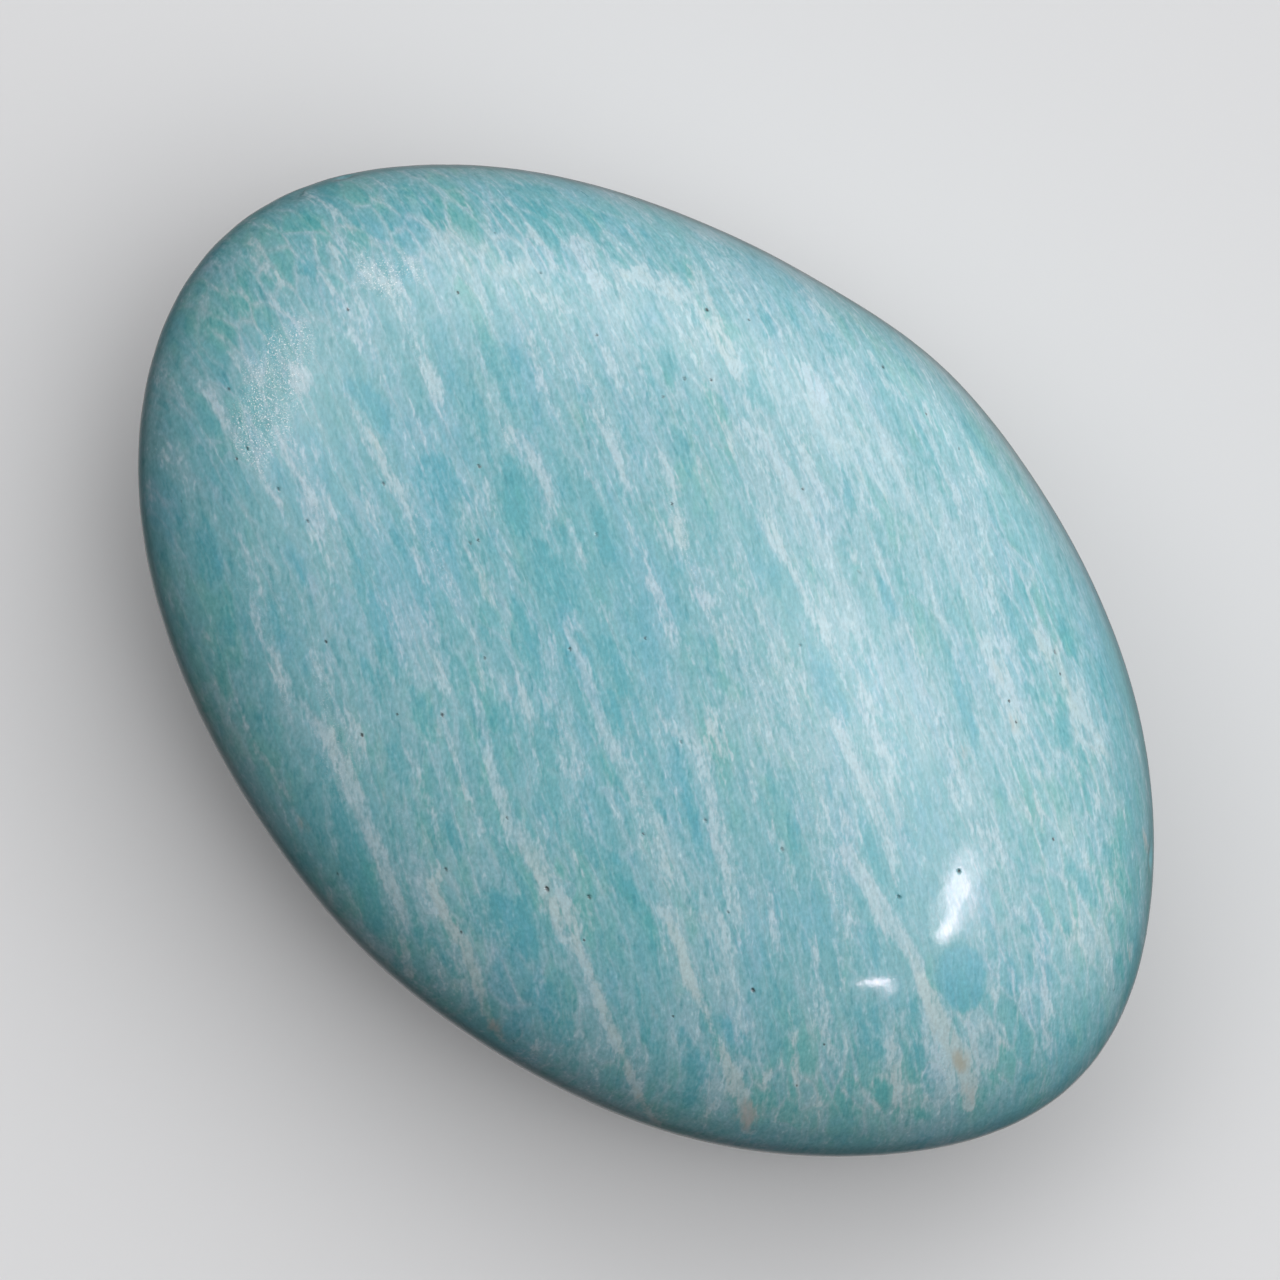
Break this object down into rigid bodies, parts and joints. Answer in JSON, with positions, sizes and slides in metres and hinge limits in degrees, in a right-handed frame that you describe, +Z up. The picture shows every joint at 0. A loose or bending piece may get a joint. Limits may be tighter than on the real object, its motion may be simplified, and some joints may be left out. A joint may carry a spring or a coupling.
{
  "type": "polished amazonite palm stone",
  "caption": "Smooth, flattened oval pebble of polished blue-green amazonite that fits in a palm and lies steady on a small flat underneath.",
  "frame": {"origin": "on the surface that the stone rests on, under the middle of its outline", "axes": "+X along the longest diameter, +Y across the stone, +Z up through its thickness"},
  "size_m": [0.07, 0.048, 0.025],
  "materials": {
    "amazonite": "polished, streaked and patchy teal with pale perthite lines"
  },
  "bodies": {
    "root": {"stone": "amazonite"}
  },
  "joints": []
}
